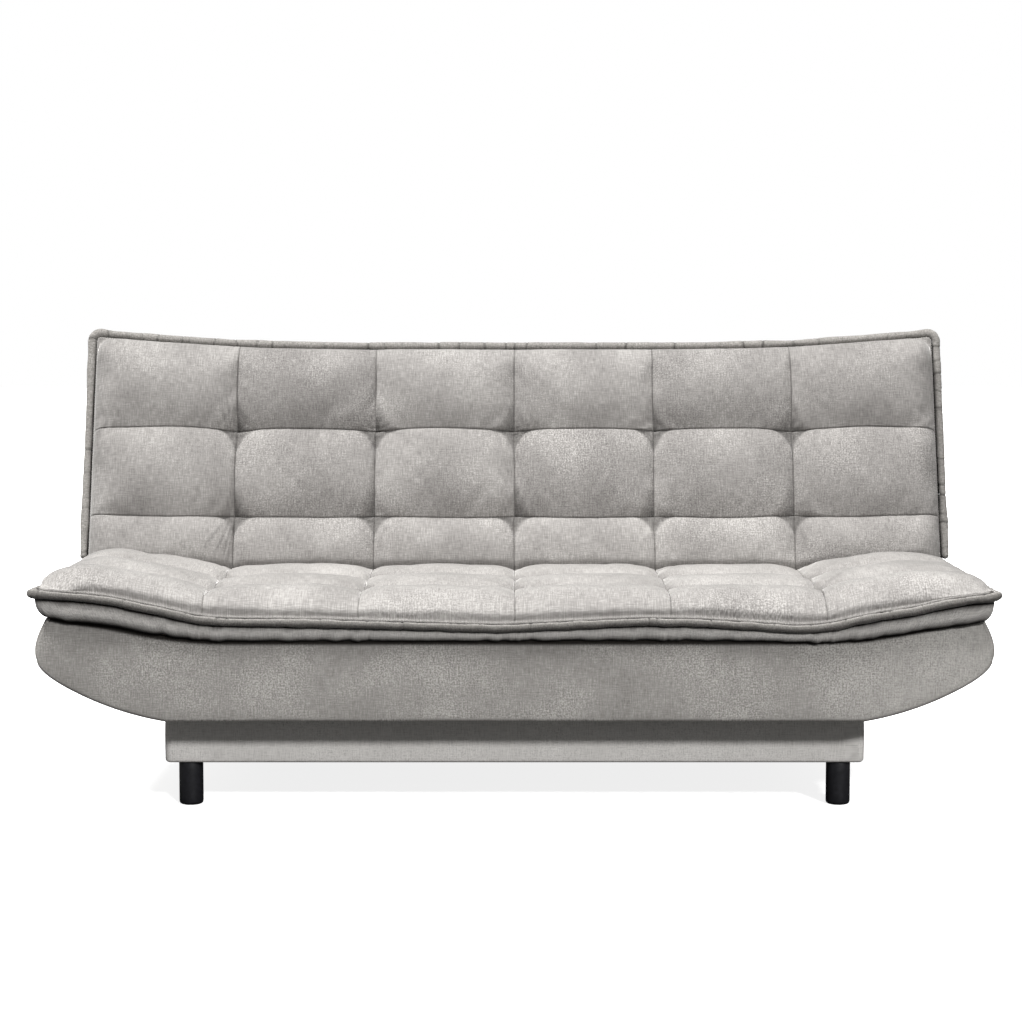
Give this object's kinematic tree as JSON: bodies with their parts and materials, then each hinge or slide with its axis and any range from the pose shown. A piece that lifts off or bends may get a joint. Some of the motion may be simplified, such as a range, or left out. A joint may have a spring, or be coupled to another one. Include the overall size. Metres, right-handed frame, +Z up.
{
  "type": "click clack sofa bed",
  "caption": "Tufted sofa bed with raised seat ends on a boat shaped base, a plinth and round feet; its back folds down flat on ratchet hinges.",
  "frame": {"origin": "middle of the footprint of the upright sofa, on the surface that the feet stand on", "axes": "+X along the sofa towards its right end as seen from the front, +Y towards its back, +Z up"},
  "size_m": [1.96, 0.884, 0.9805],
  "materials": {
    "upholstery": "matte",
    "piping_cloth": "matte",
    "foot_plastic": "satin",
    "hinge_steel": "satin",
    "slat_wood": "satin",
    "frame_wood": "matte",
    "dust_cloth": "matte"
  },
  "bodies": {
    "base": {"foot_front_left": "foot_plastic", "foot_block_front_left": "frame_wood", "foot_front_right": "foot_plastic", "foot_block_front_right": "frame_wood", "foot_rear_left": "foot_plastic", "foot_block_rear_left": "frame_wood", "foot_rear_right": "foot_plastic", "foot_block_rear_right": "frame_wood", "plinth_cover": "upholstery", "plinth_front_board": "frame_wood", "plinth_rear_board": "frame_wood", "plinth_left_board": "frame_wood", "plinth_right_board": "frame_wood", "plinth_cross_left": "frame_wood", "plinth_cross_right": "frame_wood", "plinth_deck": "frame_wood", "dust_sheet": "dust_cloth", "seat_base_cover": "upholstery", "seat_front_rail": "frame_wood", "seat_rear_rail": "frame_wood", "seat_end_left": "frame_wood", "seat_end_right": "frame_wood", "seat_cross_left": "frame_wood", "seat_cross_right": "frame_wood", "seat_floor_board": "frame_wood", "seat_slat_1": "slat_wood", "seat_slat_2": "slat_wood", "seat_slat_3": "slat_wood", "seat_slat_4": "slat_wood", "seat_slat_5": "slat_wood", "seat_slat_6": "slat_wood", "seat_slat_7": "slat_wood", "seat_mattress": "upholstery", "seat_piping": "piping_cloth", "hinge_seat_arm_left": "hinge_steel", "hinge_pivot_left": "hinge_steel", "hinge_pawl_left": "hinge_steel", "hinge_spring_left": "hinge_steel", "hinge_seat_arm_right": "hinge_steel", "hinge_pivot_right": "hinge_steel", "hinge_pawl_right": "hinge_steel", "hinge_spring_right": "hinge_steel"},
    "backrest": {"back_cover": "upholstery", "back_panel": "frame_wood", "back_low_rail": "frame_wood", "back_top_rail": "frame_wood", "back_end_stile_left": "frame_wood", "back_hinge_stile_left": "frame_wood", "back_end_stile_right": "frame_wood", "back_hinge_stile_right": "frame_wood", "back_slat_1": "slat_wood", "back_slat_2": "slat_wood", "back_slat_3": "slat_wood", "back_slat_4": "slat_wood", "back_slat_5": "slat_wood", "back_slat_6": "slat_wood", "back_mattress": "upholstery", "back_piping": "piping_cloth", "hinge_back_arm_left": "hinge_steel", "hinge_back_arm_right": "hinge_steel"}
  },
  "joints": [
    {"name": "back_recline", "type": "hinge", "parent": "base", "child": "backrest", "pos_m": [0, 0.1704, 0.403], "axis": [-1, 0, 0], "range_deg": [-8, 72]}
  ]
}
